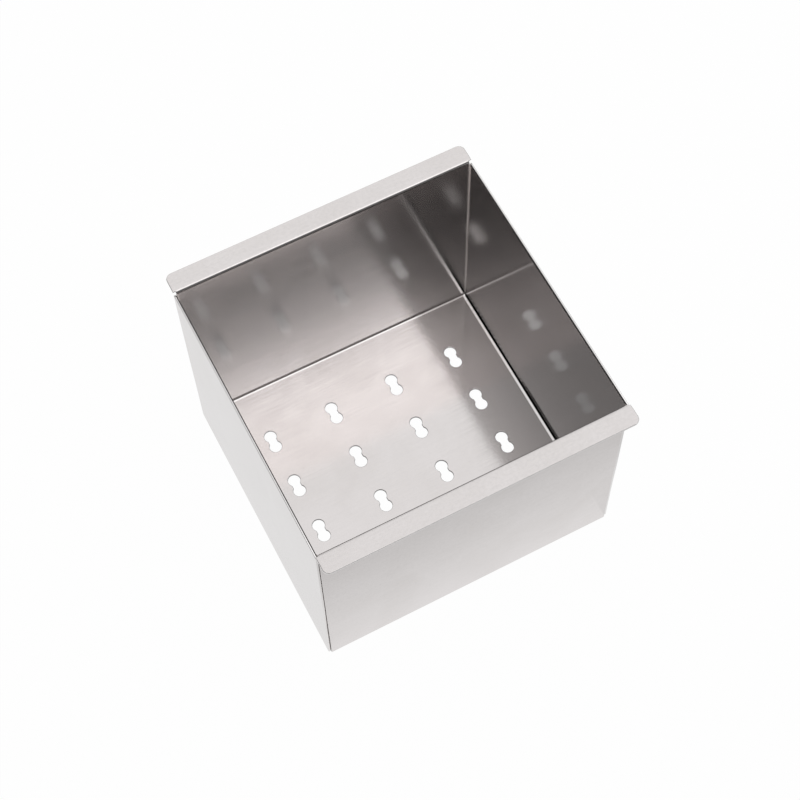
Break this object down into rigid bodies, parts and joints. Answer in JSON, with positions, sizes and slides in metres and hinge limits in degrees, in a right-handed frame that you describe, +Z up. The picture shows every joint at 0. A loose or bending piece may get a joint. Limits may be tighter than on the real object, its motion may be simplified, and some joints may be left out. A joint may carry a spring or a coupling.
{
  "type": "cheese mold",
  "caption": "Open-topped cheese mold of folded stainless sheet, with a perforated draining floor, flat side panels welded into the corners and turned-out rims along the front and back.",
  "frame": {"origin": "on the resting surface, below the middle of the floor", "axes": "+X from the left side panel to the right one, +Y from the front wall to the back wall, +Z up"},
  "size_m": [0.122, 0.1308, 0.099],
  "materials": {
    "sheet_steel": "satin rolled stainless sheet with a fine grain",
    "weld_steel": "dressed and polished weld"
  },
  "bodies": {
    "root": {"folded_body": "sheet_steel", "left_side_panel": "sheet_steel", "right_side_panel": "sheet_steel", "left_front_weld": "weld_steel", "left_floor_weld": "weld_steel", "left_back_weld": "weld_steel", "right_front_weld": "weld_steel", "right_floor_weld": "weld_steel", "right_back_weld": "weld_steel"}
  },
  "joints": []
}
